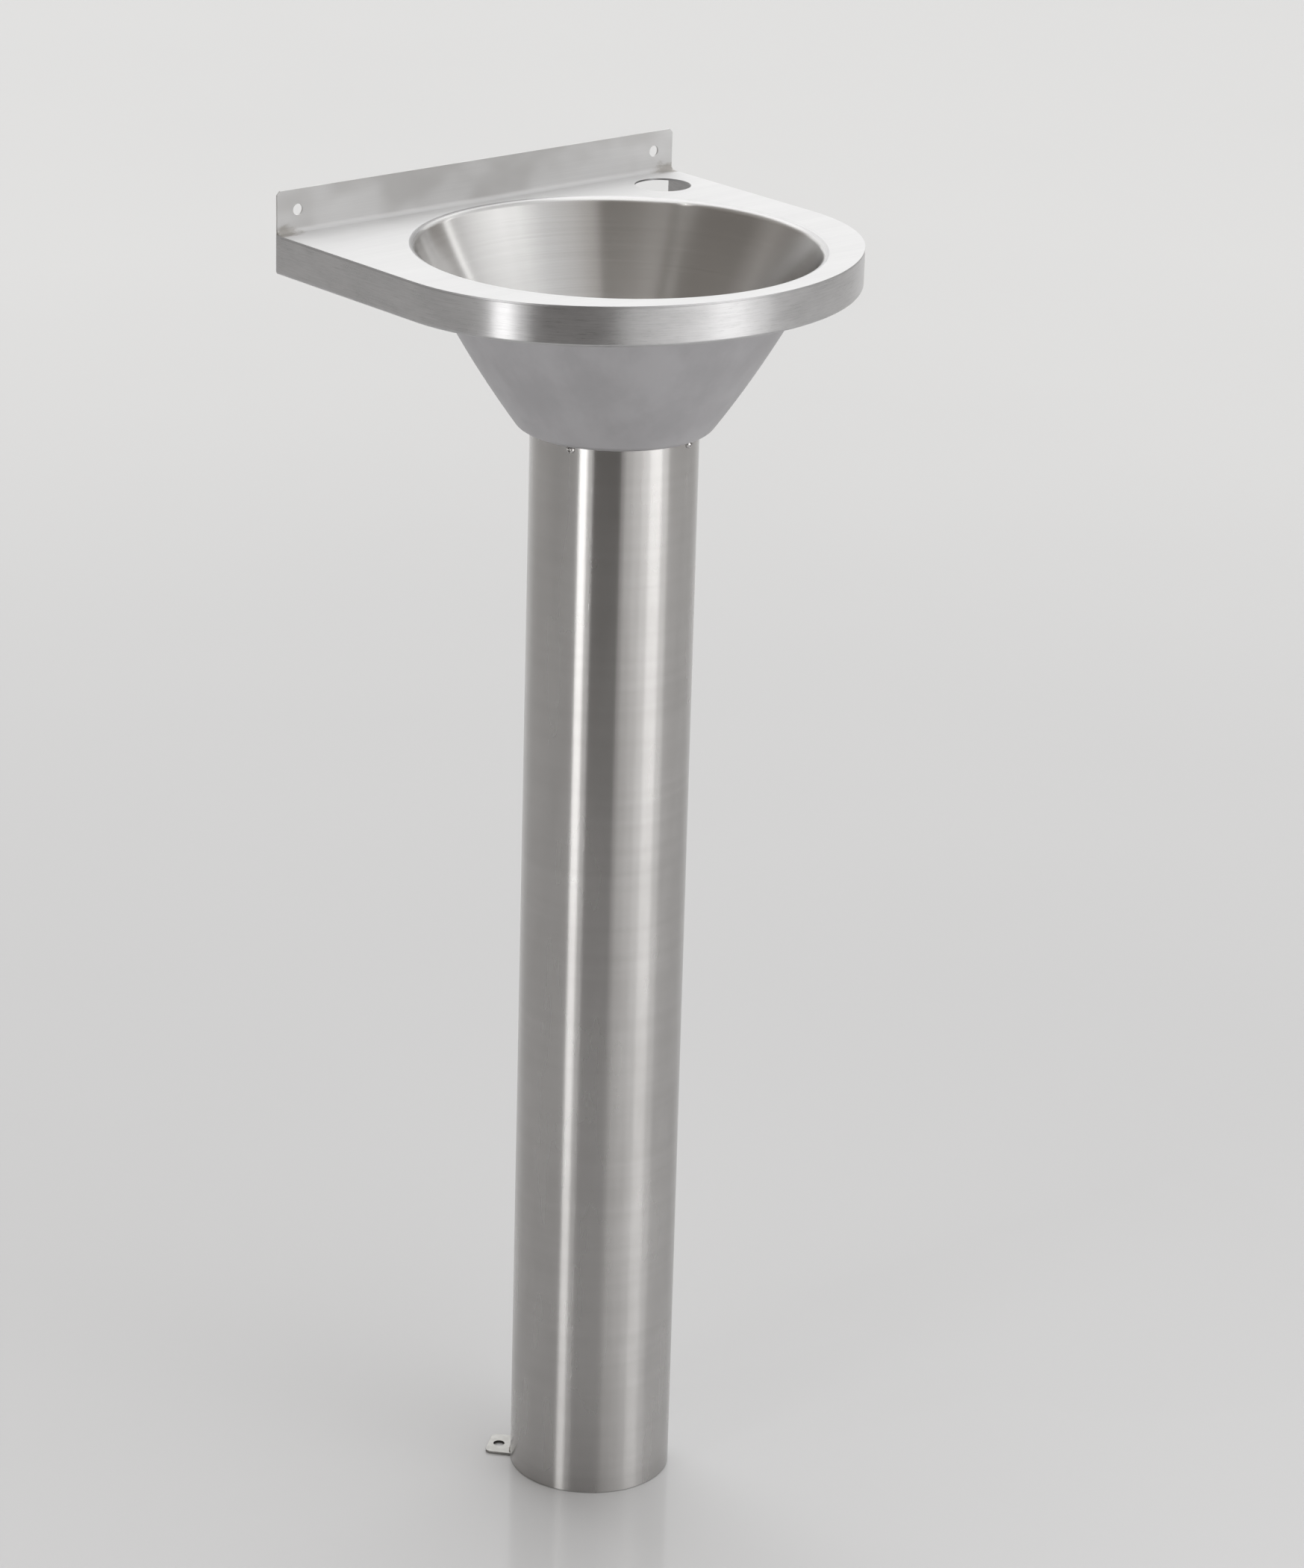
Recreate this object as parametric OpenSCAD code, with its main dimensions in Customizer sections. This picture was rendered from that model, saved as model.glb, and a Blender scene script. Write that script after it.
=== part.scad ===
// Freestanding stainless steel washbasin: a D-shaped deck with a pressed bowl, a folded
// upstand at the wall, a bent apron below the edge, and a tubular column that hides the drain.
// Origin: column axis at floor level. +X runs along the wall, +Y points to the wall, +Z is up.

/* [Basin top] */
// Height of the deck above the floor
deck_h = 800; // [700:1:950]
// Flat ledge between the bowl and each side edge
side_ledge = 31; // [20:0.5:80]
// Flat ledge between the bowl and the wall face
back_ledge = 11.5; // [9:0.5:60]
// Flat ledge between the bowl and the front edge
front_ledge = 15; // [9:0.5:60]
// How far the corner arcs stand outside the bowl
corner_ledge = 2.5; // [0:0.5:6]
// Thickness of the deck, bowl and apron sheet
sheet_t = 1.2; // [0.8:0.1:2]

/* [Bowl] */
// Radius of the bowl wall where it would meet the deck plane
mouth_r = 121.5; // [100:0.5:140]
// Inside depth of the bowl
bowl_depth = 109; // [80:1:140]
// Radius of the gentle outward curve of the bowl wall
wall_curve_r = 650; // [400:10:2000]
// Rounding between deck and bowl
rim_r = 5.5; // [3:0.5:9]
// Rounding between bowl wall and bowl floor
floor_round_r = 7; // [3:0.5:12]
// Flat bowl floor that shows outside the column
floor_ledge = 3; // [1:0.5:8]
// Flange of the pressing, welded into the deck
bowl_flange = 2; // [1:0.5:4]

/* [Upstand and apron] */
// Height of the upstand above the deck
upstand_h = 26; // [20:1:60]
// Inside radius of the upstand bend
upstand_bend_r = 3; // [1.5:0.5:5]
// Bevel on the upstand's top corners
upstand_bevel = 2.2; // [1:0.2:5]
// Relief cut beside the upstand bend
bend_relief = 1.2; // [0.8:0.2:3]
// Height of the apron, measured from the deck's top
apron_h = 24; // [16:1:60]
// Width of the apron's inward return
apron_return = 9; // [5:1:20]
// Outside radius of the apron's lower bend
apron_bend_r = 2; // [1.6:0.2:4]

/* [Holes] */
// Tap hole diameter
tap_hole_d = 35; // [28:0.5:38]
// Tap hole centre to the side edge
tap_side = 31.5; // [26:0.5:45]
// Tap hole centre to the wall face
tap_back = 30; // [26:0.5:40]
// Diameter of the wall screw holes
wall_hole_d = 7; // [4:0.5:10]
// Wall screw holes to the ends of the upstand
wall_hole_end = 15; // [10:1:60]
// Wall screw holes above the deck
wall_hole_up = 13.5; // [10:0.5:18]

/* [Column] */
// Outside diameter of the column tube
column_d = 101.6; // [96:0.1:110]
// Wall of the column tube
column_t = 1.5; // [1:0.1:3]
// Height of the collar inside the column
collar_h = 26; // [16:1:50]
// Wall of the collar
collar_t = 3; // [2:0.5:5]
// Gap between collar and column
collar_gap = 0.2; // [0.1:0.05:0.5]
// Number of collar screws
screw_count = 4; // [3:1:6]
// Direction of the first collar screw
screw_turn = 18.5; // [0:0.5:90]
// Head diameter of the collar screws
screw_head_d = 6.6; // [5:0.1:9]
// Head height of the collar screws
screw_head_h = 2.3; // [1.5:0.1:4]
// Shank diameter of the collar screws
screw_d = 4; // [3:0.5:5]
// Length of the collar screw shanks
screw_len = 8; // [6:0.5:14]

/* [Floor tabs] */
// Width of a floor tab
tab_w = 24; // [16:1:40]
// How far a floor tab stands out from the column
tab_reach = 15.5; // [13:0.5:30]
// Thickness of a floor tab
tab_t = 1.5; // [1:0.1:5]
// Rounding of a tab's outer corners
tab_round = 4; // [1:0.5:7]
// Turn of each tab from straight back
tab_turn = 39.5; // [25:0.5:80]
// Diameter of the floor screw holes
tab_hole_d = 7; // [5:0.5:9]
// Floor screw holes to the column's surface
tab_hole_out = 8.5; // [7:0.5:10]

/* [Waste fitting] */
// Diameter of the drain hole in the bowl
drain_d = 46; // [44:0.5:50]
// Diameter of the strainer flange
strainer_d = 65; // [60:1:72]
// Thickness of the strainer sheet
strainer_t = 1.5; // [1:0.1:2.5]
// Depth of the strainer cup
strainer_cup = 7; // [5:0.5:10]
// Diameter of the strainer's round holes
strainer_hole_d = 4.6; // [3:0.2:5]
// Thickness of the seal under the strainer
seal_t = 1; // [0.6:0.1:2]
// Thickness of the gasket under the bowl
gasket_t = 3; // [2:0.5:5]
// Diameter of the long centre screw
centre_screw_d = 6; // [5:0.5:8]
// Length of the waste body below the bowl
waste_len = 46; // [40:1:70]

/* [Pipes and trap] */
// Outside diameter of the pipe above the trap
pipe_d = 32; // [28:0.5:34]
// Outside diameter of the outlet pipe
outlet_d = 40; // [36:0.5:44]
// Wall of both pipes
pipe_t = 1.8; // [1.2:0.1:3]
// Length of the pipe above the trap
pipe_len = 130; // [100:5:200]
// Outside diameter of the trap body
trap_d = 72; // [66:1:80]
// Wall of the trap body
trap_t = 2.5; // [2:0.1:3.5]
// Height of the trap body
trap_h = 115; // [95:1:160]
// Water seal held by the trap cup
water_seal = 50; // [35:1:60]
// How deep the tailpipe enters its sockets
socket_in = 12; // [8:1:18]
// How deep the trap's spigot enters the outlet pipe's bell
bell_in = 40; // [30:1:60]

/* [Hidden] */
$fn = 96;

// Plan of the deck. The sides run straight to the column's centre line. Two corner arcs and
// one flatter front arc close the D, and all of them meet at a tangent.
half_w = mouth_r + side_ledge;
back_reach = mouth_r + back_ledge;
front_reach = mouth_r + front_ledge;
corner_r = mouth_r + corner_ledge;
corner_x = half_w - corner_r;
arc_gap = front_reach - corner_r;
corner_sweep = round(100 * (90 - 2 * atan2(arc_gap, corner_x))) / 100;
front_y = corner_x * tan(corner_sweep);
front_r = corner_r + corner_x / cos(corner_sweep);

// Section of the bowl, with z measured down from the deck. The wall arc passes through the
// mouth point and runs at a tangent into the floor rounding and the rim rounding.
column_r = column_d / 2;
floor_c = [column_r + floor_ledge, floor_round_r - bowl_depth];
mouth = [mouth_r, 0];
to_floor = floor_c - mouth;
mouth_gap = norm(to_floor);
chord = (pow(wall_curve_r, 2) - pow(wall_curve_r - floor_round_r, 2) + pow(mouth_gap, 2))
    / (2 * mouth_gap);
rise = sqrt(pow(wall_curve_r, 2) - pow(chord, 2));
wall_c = mouth + (chord * to_floor + rise * [to_floor[1], -to_floor[0]]) / mouth_gap;
rim_c = [wall_c[0] + sqrt(pow(wall_curve_r + rim_r, 2) - pow(rim_r + wall_c[1], 2)), -rim_r];
rim_turn = atan2(rim_c[1] - wall_c[1], rim_c[0] - wall_c[0]);
floor_turn = atan2(floor_c[1] - wall_c[1], floor_c[0] - wall_c[0]);
flange_r = rim_c[0] + bowl_flange;
floor_z = deck_h - bowl_depth;

// The strainer sits flush in a shallow recess of the bowl floor.
drain_r = drain_d / 2;
fit = 1;
recess_r = strainer_d / 2 + fit;
recess_deep = seal_t + strainer_t;
recess_z = floor_z - recess_deep;
miter = sheet_t * (sqrt(2) - 1);

column_top = floor_z - sheet_t;
column_bore_r = column_r - column_t;
collar_r = column_bore_r - collar_gap;
screw_z = column_top - screw_head_d / 2 - 0.3;
thread_gap = 0.05;
hole_gap = 0.25;

tab_hole_r = column_r + tab_hole_out;

// Heights of the drain parts, from the bowl down to the floor.
waste_top = recess_z - sheet_t - gasket_t;
waste_bore_r = pipe_d / 2 + 0.3;
male_r = pipe_d / 2 + 5;
outlet_r = outlet_d / 2;
bell_gap = 0.3;
bell_seal_h = 7;
bell_seal_w = 3;
bell_seal_up = 6;
flange_h = 5;
thread_h = 16;
nut_h = 18;
nut_lip = 3;
seal_h = 4;
rib_h = 1.5;
rib_w = 3;
waste_bottom = waste_top - waste_len;
pipe_top = waste_bottom + socket_in;
pipe_bottom = pipe_top - pipe_len;
trap_neck_top = pipe_bottom + socket_in;
neck_h = thread_h + 4;
trap_top = trap_neck_top - neck_h;
trap_r = trap_d / 2;
cap_h = 16;
cap_lip = 3;
trap_seal_t = 2;
trap_rim = trap_top - trap_seal_t - cap_lip;
trap_floor = trap_rim - trap_h;
dip_r = pipe_d / 2 - 1;
dip_t = 2;
cup_r = trap_r - trap_t - 6;
cup_t = 2;
cup_foot = 11.5;
cup_rib = 20;
slide_gap = 0.1;
cup_z = trap_floor + trap_t + cup_foot;
cup_h = water_seal + 12;
dip_bottom = cup_z + cup_t + 10;
bell_top = trap_floor - 6;
bell_floor = bell_top - bell_in;
bell_r = outlet_r + bell_gap;

// Points on an arc from one angle to another
function arc(centre, r, from, to, n) =
    [for (i = [0:n]) centre + r * [cos(from + (to - from) * i / n), sin(from + (to - from) * i / n)]];

// One face of the bowl sheet, grown outwards from its wet face
function bowl_face(grow) = concat(
    arc(rim_c, rim_r - grow, 90, 180 + rim_turn, 12),
    arc(wall_c, wall_curve_r + grow, rim_turn, floor_turn, 14),
    arc(floor_c, floor_round_r + grow, floor_turn, -90, 8));

// The D-shaped plan, drawn in from the edge. "past" lengthens its open back.
module plan(inset = 0, past = 0) {
    w = half_w - inset;
    strip = (front_r - inset) * cos(corner_sweep);
    translate([-w, 0])
        square([2 * w, back_reach + past]);
    for (s = [-1, 1])
        translate([s * corner_x, 0])
            circle(corner_r - inset);
    intersection() {
        translate([0, front_y])
            circle(front_r - inset);
        translate([-strip, -front_reach - 1])
            square([2 * strip, front_reach + 2]);
    }
}

// Moves by whole millimetres, then thousandths, then the rest, so that no digit is lost and
// tangent arcs meet without a gap
module shift(x, y = 0) {
    whole = [round(x), round(y)];
    fine = [round(1000 * x), round(1000 * y)] / 1000;
    translate(whole)
        translate(fine - whole)
            translate([x, y] - fine)
                children();
}

// Carries a section round the D. The section's x is the distance in from the edge.
module round_plan() {
    for (s = [0, 1])
        mirror([s, 0, 0]) {
            shift(half_w)
                rotate([90, 0, 0])
                    mirror([1, 0, 0])
                        translate([0, 0, -back_reach])
                            linear_extrude(back_reach)
                                children();
            shift(corner_x)
                rotate_extrude(angle = corner_sweep, start = -corner_sweep)
                    shift(corner_r)
                        mirror([1, 0])
                            children();
        }
    shift(0, front_y)
        rotate_extrude(angle = 180 - 2 * corner_sweep, start = 180 + corner_sweep)
            shift(front_r)
                mirror([1, 0])
                    children();
}

module ring(r_out, r_in, h) {
    difference() {
        cylinder(r = r_out, h = h);
        translate([0, 0, -1])
            cylinder(r = r_in, h = h + 2);
    }
}

// Upstand with its bend, as a section across the wall edge. x runs towards the room.
module upstand_section() {
    bend_out = upstand_bend_r + sheet_t;
    translate([0, bend_out])
        square([sheet_t, upstand_h + sheet_t - bend_out]);
}

module bend_section() {
    bend_out = upstand_bend_r + sheet_t;
    intersection() {
        square(bend_out);
        translate([bend_out, bend_out])
            difference() {
                circle(bend_out);
                circle(upstand_bend_r);
            }
    }
}

// Stands a section up along the wall edge, over a width about the middle
module along_wall(width) {
    translate([-width / 2, back_reach, deck_h - sheet_t])
        rotate([90, 0, -90])
            mirror([0, 0, 1])
                linear_extrude(width)
                    children();
}

module deck() {
    bend_out = upstand_bend_r + sheet_t;
    color("gainsboro")
        difference() {
            union() {
                translate([0, 0, deck_h - sheet_t])
                    linear_extrude(sheet_t)
                        plan(past = -bend_out);
                along_wall(2 * (half_w - bend_relief))
                    bend_section();
                intersection() {
                    along_wall(2 * half_w)
                        upstand_section();
                    translate([0, back_reach + 1, 0])
                        rotate([90, 0, 0])
                            linear_extrude(sheet_t + 2)
                                upstand_face();
                }
            }
            translate([0, 0, deck_h - sheet_t - 1])
                cylinder(r = flange_r, h = sheet_t + 2);
            translate([half_w - tap_side, back_reach - tap_back, deck_h - sheet_t - 1])
                cylinder(d = tap_hole_d, h = sheet_t + 2);
            for (s = [-1, 1])
                translate([s * (half_w - wall_hole_end), back_reach + 1, deck_h + wall_hole_up])
                    rotate([90, 0, 0])
                        cylinder(d = wall_hole_d, h = sheet_t + 2);
        }
}

// Front view of the upstand, with its bevelled top corners
module upstand_face() {
    top = deck_h + upstand_h;
    polygon([[-half_w, deck_h], [half_w, deck_h], [half_w, top - upstand_bevel],
        [half_w - upstand_bevel, top], [upstand_bevel - half_w, top],
        [-half_w, top - upstand_bevel]]);
}

module bowl() {
    slope_r = recess_r + recess_deep;
    wet = concat([[flange_r, 0]], bowl_face(0),
        [[slope_r, -bowl_depth], [recess_r, -bowl_depth - recess_deep],
        [drain_r, -bowl_depth - recess_deep]]);
    dry = concat([[flange_r, -sheet_t]], bowl_face(sheet_t),
        [[slope_r + miter, -bowl_depth - sheet_t],
        [recess_r + miter, -bowl_depth - recess_deep - sheet_t],
        [drain_r, -bowl_depth - recess_deep - sheet_t]]);
    color("silver")
        translate([0, 0, deck_h])
            rotate_extrude()
                polygon(concat(wet, [for (i = [len(dry) - 1:-1:0]) dry[i]]));
}

// Apron section: an upright strip, a lower bend and an inward return
module apron_section() {
    drop = apron_h - sheet_t;
    translate([0, apron_bend_r - drop])
        square([sheet_t, drop - apron_bend_r]);
    translate([apron_bend_r, -drop])
        square([apron_return - apron_bend_r, sheet_t]);
    translate([apron_bend_r, apron_bend_r - drop])
        intersection() {
            difference() {
                circle(apron_bend_r);
                circle(apron_bend_r - sheet_t);
            }
            translate([-apron_bend_r, -apron_bend_r])
                square(apron_bend_r);
        }
}

module apron() {
    bend_out = upstand_bend_r + sheet_t;
    color("darkgray") {
        translate([0, 0, deck_h - sheet_t])
            round_plan()
                apron_section();
        // The end of each side runs up beside the bend and closes the deck's corner
        for (s = [0, 1])
            mirror([s, 0, 0])
                translate([half_w - bend_relief, back_reach - bend_out, deck_h - sheet_t])
                    cube([bend_relief, bend_out, sheet_t]);
    }
}

module column_collar() {
    color("gray")
        difference() {
            translate([0, 0, column_top - collar_h])
                ring(collar_r, collar_r - collar_t, collar_h);
            screw_places()
                translate([0, 0, -collar_t - 3])
                    cylinder(r = screw_d / 2, h = collar_t + 6);
        }
}

// Puts its child at each collar screw, with z pointing out of the column's surface
module screw_places() {
    for (i = [0:screw_count - 1])
        rotate([0, 0, screw_turn + i * 360 / screw_count])
            translate([column_r, 0, screw_z])
                rotate([0, 90, 0])
                    children();
}

module column() {
    color("lightgray")
        difference() {
            ring(column_r, column_bore_r, column_top);
            screw_places()
                translate([0, 0, -column_t - 2])
                    cylinder(r = screw_d / 2 + hole_gap, h = column_t + 4);
        }
}

// Domed head with a cross recess, on a plain shank
module collar_screw() {
    head_r = screw_head_d / 2;
    dome_r = (pow(head_r, 2) + pow(screw_head_h, 2)) / (2 * screw_head_h);
    recess_w = screw_head_d / 6;
    recess_l = screw_head_d * 0.6;
    difference() {
        intersection() {
            cylinder(r = head_r, h = screw_head_h);
            translate([0, 0, screw_head_h - dome_r])
                sphere(dome_r);
        }
        for (a = [0, 90])
            rotate([0, 0, a + 45])
                translate([-recess_l / 2, -recess_w / 2, screw_head_h / 2])
                    cube([recess_l, recess_w, screw_head_h]);
    }
    translate([0, 0, -screw_len])
        cylinder(r = screw_d / 2 - thread_gap, h = screw_len);
}

module collar_screws() {
    color("whitesmoke")
        screw_places()
            collar_screw();
}

// Flat tab welded to the foot of the column
module floor_tab(turn) {
    out = column_r + tab_reach;
    color("lightgray")
        rotate([0, 0, 90 + turn])
            difference() {
                linear_extrude(tab_t) {
                    translate([0, -tab_w / 2])
                        square([out - tab_round, tab_w]);
                    translate([0, tab_round - tab_w / 2])
                        square([out, tab_w - 2 * tab_round]);
                    for (s = [-1, 1])
                        translate([out - tab_round, s * (tab_w / 2 - tab_round)])
                            circle(tab_round);
                }
                translate([0, 0, -1])
                    cylinder(r = column_r, h = tab_t + 2);
                translate([tab_hole_r, 0, -1])
                    cylinder(d = tab_hole_d, h = tab_t + 2);
            }
}

module floor_tab_left() {
    floor_tab(tab_turn);
}

module floor_tab_right() {
    floor_tab(-tab_turn);
}

// Pressed cup with a flush flange and two rings of round holes
module strainer() {
    cup_out = drain_r - 1;
    cup_in = cup_out - strainer_t;
    outer_ring = cup_in - strainer_hole_d / 2 - 2;
    inner_ring = outer_ring - strainer_hole_d - 2;
    color("silver")
        translate([0, 0, floor_z])
            difference() {
                union() {
                    translate([0, 0, -strainer_t])
                        cylinder(r = strainer_d / 2, h = strainer_t);
                    translate([0, 0, -strainer_cup])
                        cylinder(r = cup_out, h = strainer_cup);
                }
                translate([0, 0, strainer_t - strainer_cup])
                    cylinder(r1 = cup_in - 1, r2 = cup_in, h = strainer_cup - strainer_t + 0.01);
                for (i = [0:13])
                    rotate([0, 0, i * 360 / 14])
                        translate([outer_ring, 0, -strainer_cup - 1])
                            cylinder(d = strainer_hole_d, h = strainer_t + 2);
                for (i = [0:7])
                    rotate([0, 0, i * 360 / 8])
                        translate([inner_ring, 0, -strainer_cup - 1])
                            cylinder(d = strainer_hole_d, h = strainer_t + 2);
                translate([0, 0, -strainer_cup - 1])
                    cylinder(r = centre_screw_d / 2 + hole_gap, h = strainer_t + 2);
            }
}

module strainer_screw() {
    head_z = floor_z - strainer_cup + strainer_t;
    bridge_z = waste_top - waste_len / 2;
    head_h = 2.4;
    color("whitesmoke") {
        difference() {
            translate([0, 0, head_z])
                cylinder(r1 = centre_screw_d, r2 = centre_screw_d - 1.2, h = head_h);
            translate([-centre_screw_d, -0.6, head_z + head_h / 2])
                cube([2 * centre_screw_d, 1.2, head_h]);
        }
        translate([0, 0, bridge_z - 6])
            cylinder(r = centre_screw_d / 2 - thread_gap, h = head_z - bridge_z + 6);
    }
}

module strainer_seal() {
    color("dimgray")
        translate([0, 0, recess_z])
            ring(strainer_d / 2 - 1, drain_r - 0.5, seal_t);
}

module waste_gasket() {
    color("dimgray")
        translate([0, 0, recess_z - sheet_t - gasket_t])
            ring(strainer_d / 2 - 1.5, drain_r + 0.5, gasket_t);
}

// Cup below the bowl, with a bridge for the centre screw and a threaded tail
module waste_body() {
    cup_out = strainer_d / 2 - 4;
    cup_in = cup_out - 3;
    cone_h = waste_len - flange_h - thread_h - 6;
    bridge_z = waste_top - waste_len / 2;
    color("white")
        difference() {
            union() {
                difference() {
                    union() {
                        translate([0, 0, waste_top - flange_h])
                            cylinder(r = strainer_d / 2 - 1.5, h = flange_h);
                        translate([0, 0, waste_top - flange_h - cone_h])
                            cylinder(r1 = male_r, r2 = cup_out, h = cone_h);
                        translate([0, 0, waste_bottom])
                            cylinder(r = male_r, h = thread_h + 6);
                    }
                    translate([0, 0, waste_bottom + thread_h + 2])
                        cylinder(r1 = waste_bore_r, r2 = cup_in, h = waste_len - thread_h - 1.99);
                    translate([0, 0, waste_bottom - 1])
                        cylinder(r = waste_bore_r, h = thread_h + 4);
                }
                translate([0, 0, bridge_z - 4])
                    cylinder(r = centre_screw_d / 2 + 3, h = 8);
                translate([-waste_bore_r - 3, -1.5, bridge_z - 4])
                    cube([2 * waste_bore_r + 6, 3, 6]);
            }
            translate([0, 0, bridge_z - 7])
                cylinder(r = centre_screw_d / 2, h = 14);
        }
}

// Outline of a nut or cap with grip ribs
module grip(r, ribs) {
    circle(r);
    for (i = [0:ribs - 1])
        rotate((i + 0.5) * 360 / ribs)
            translate([0, -rib_w / 2])
                square([r + rib_h, rib_w]);
}

// Slip nut with grip ribs, screwed over a male thread whose mouth is at z = 0
module slip_nut(thread_r, tube_r) {
    wall = 3;
    out = thread_r + wall;
    color("white")
        difference() {
            translate([0, 0, -seal_h - nut_lip])
                linear_extrude(nut_h)
                    grip(out, 8);
            translate([0, 0, -seal_h])
                cylinder(r = thread_r + thread_gap, h = nut_h);
            translate([0, 0, -seal_h - nut_lip - 1])
                cylinder(r = tube_r + 0.3, h = nut_lip + 2);
        }
}

// Cone seal that a slip nut presses between a thread's mouth and a pipe
module slip_seal(thread_r, tube_r) {
    color("dimgray")
        difference() {
            translate([0, 0, -seal_h])
                cylinder(r = thread_r - 0.3, h = seal_h);
            translate([0, 0, -seal_h - 1])
                cylinder(r = tube_r + thread_gap, h = seal_h + 2);
        }
}

module waste_nut() {
    translate([0, 0, waste_bottom])
        slip_nut(male_r, pipe_d / 2);
}

module waste_cone_seal() {
    translate([0, 0, waste_bottom])
        slip_seal(male_r, pipe_d / 2);
}

module tailpipe() {
    color("whitesmoke")
        translate([0, 0, pipe_bottom])
            ring(pipe_d / 2, pipe_d / 2 - pipe_t, pipe_len);
}

// The two joints below the tailpipe point upwards, so their nuts are turned over
module trap_inlet_nut() {
    translate([0, 0, trap_neck_top])
        mirror([0, 0, 1])
            slip_nut(male_r, pipe_d / 2);
}

module trap_inlet_seal() {
    translate([0, 0, trap_neck_top])
        mirror([0, 0, 1])
            slip_seal(male_r, pipe_d / 2);
}

// Screw cap with the inlet neck above and the dip tube below
module trap_cap() {
    out = trap_r + 3.5;
    color("white") {
        difference() {
            union() {
                translate([0, 0, trap_top - cap_h])
                    linear_extrude(cap_h)
                        grip(out, 12);
                translate([0, 0, trap_top - 1])
                    cylinder(r = male_r, h = neck_h + 1);
            }
            translate([0, 0, trap_top - cap_h - 1])
                cylinder(r = trap_r + thread_gap, h = cap_h - cap_lip + 1);
            translate([0, 0, trap_neck_top - socket_in])
                cylinder(r = waste_bore_r, h = socket_in + 1);
            translate([0, 0, trap_top - cap_h - 1])
                cylinder(r = dip_r, h = cap_h + neck_h);
        }
        translate([0, 0, dip_bottom])
            ring(dip_r + dip_t, dip_r, trap_top - cap_lip - dip_bottom);
    }
}

module trap_cap_seal() {
    color("dimgray")
        translate([0, 0, trap_rim])
            ring(trap_r - 0.3, trap_r - trap_t - 1, trap_seal_t);
}

// Cup that holds the water seal round the dip tube, carried by three ribs
module trap_cup() {
    color("whitesmoke")
        difference() {
            union() {
                translate([0, 0, cup_z])
                    cylinder(r = cup_r, h = cup_h);
                intersection() {
                    translate([0, 0, trap_floor + trap_t])
                        cylinder(r = trap_r - trap_t - slide_gap, h = cup_foot + cup_rib);
                    union()
                        for (i = [0:2])
                            rotate([0, 0, i * 120])
                                translate([0, -1.5, trap_floor + trap_t])
                                    cube([trap_r, 3, cup_foot + cup_rib]);
                }
            }
            translate([0, 0, cup_z + cup_t])
                cylinder(r = cup_r - cup_t, h = cup_h);
            translate([0, 0, cup_z - cup_foot - 1])
                cylinder(r = outlet_r, h = cup_foot + 1);
        }
}

// Jar with a plain spigot below it
module trap_body() {
    color("white")
        difference() {
            union() {
                translate([0, 0, trap_floor])
                    cylinder(r = trap_r, h = trap_h);
                translate([0, 0, bell_floor])
                    cylinder(r = outlet_r, h = trap_floor - bell_floor + 1);
            }
            translate([0, 0, trap_floor + trap_t])
                cylinder(r = trap_r - trap_t, h = trap_h);
            translate([0, 0, bell_floor - 1])
                cylinder(r = outlet_r - pipe_t, h = trap_floor - bell_floor + trap_t + 2);
        }
}

module outlet_seal() {
    color("dimgray")
        translate([0, 0, bell_top - bell_seal_up - bell_seal_h])
            ring(bell_r + bell_seal_w, outlet_r + thread_gap, bell_seal_h);
}

// Pipe to the floor drain, with a bell at its top. The bell's bulge holds the seal.
module outlet_pipe() {
    bulge_r = bell_r + bell_seal_w;
    bulge_z = bell_top - bell_seal_up - bell_seal_h;
    color("whitesmoke")
        difference() {
            union() {
                cylinder(r = outlet_r, h = bell_floor);
                translate([0, 0, bell_floor - pipe_t])
                    cylinder(r = bell_r + pipe_t, h = bell_in + pipe_t);
                translate([0, 0, bulge_z - pipe_t])
                    cylinder(r = bulge_r + pipe_t, h = bell_seal_h + 2 * pipe_t);
            }
            translate([0, 0, -1])
                cylinder(r = outlet_r - pipe_t, h = bell_floor + 2);
            translate([0, 0, bell_floor])
                cylinder(r = bell_r, h = bell_in + 1);
            translate([0, 0, bulge_z])
                cylinder(r = bulge_r, h = bell_seal_h);
        }
}

deck();
bowl();
apron();
column_collar();
column();
collar_screws();
floor_tab_left();
floor_tab_right();
strainer();
strainer_screw();
strainer_seal();
waste_gasket();
waste_body();
waste_nut();
waste_cone_seal();
tailpipe();
trap_inlet_nut();
trap_inlet_seal();
trap_cap();
trap_cap_seal();
trap_cup();
trap_body();
outlet_seal();
outlet_pipe();
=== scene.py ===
import math

import bpy
import numpy as np
from mathutils import Matrix, Vector


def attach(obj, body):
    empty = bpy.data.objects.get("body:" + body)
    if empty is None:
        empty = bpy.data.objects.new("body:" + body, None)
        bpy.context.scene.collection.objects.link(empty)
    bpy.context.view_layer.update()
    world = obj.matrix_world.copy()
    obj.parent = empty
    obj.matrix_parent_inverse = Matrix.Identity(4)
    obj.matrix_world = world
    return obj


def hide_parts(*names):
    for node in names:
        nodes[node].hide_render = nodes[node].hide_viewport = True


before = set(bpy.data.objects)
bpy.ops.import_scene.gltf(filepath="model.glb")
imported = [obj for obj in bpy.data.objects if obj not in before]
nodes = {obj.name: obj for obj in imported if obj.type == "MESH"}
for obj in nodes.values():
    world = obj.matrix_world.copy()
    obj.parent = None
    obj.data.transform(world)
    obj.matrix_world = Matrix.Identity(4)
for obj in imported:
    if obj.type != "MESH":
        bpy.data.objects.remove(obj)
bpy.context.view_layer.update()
print("frame: %d nodes loaded" % len(nodes))

# Sizes in metres that every sheet piece shares
basin = {
    "deckHeight": 0.8,
    "sheet": 0.0012,
    "halfWidth": 0.1525,
    "backReach": 0.133,
    "frontReach": 0.1365,
    "cornerR": 0.124,
}


# Camera
cameraSizes = {
    "place": (-1.82264, -2.16, 1.50449),
    "right": (0.76391, -0.64476, 0.02687),
    "down": (-0.20395, -0.28072, -0.93787),
    "forward": (0.61225, 0.71097, -0.34594),
    "lens": 6583.8 * 36 / 2100,  # the frame is 1747 by 2100, and its long side is 36 mm
}


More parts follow.
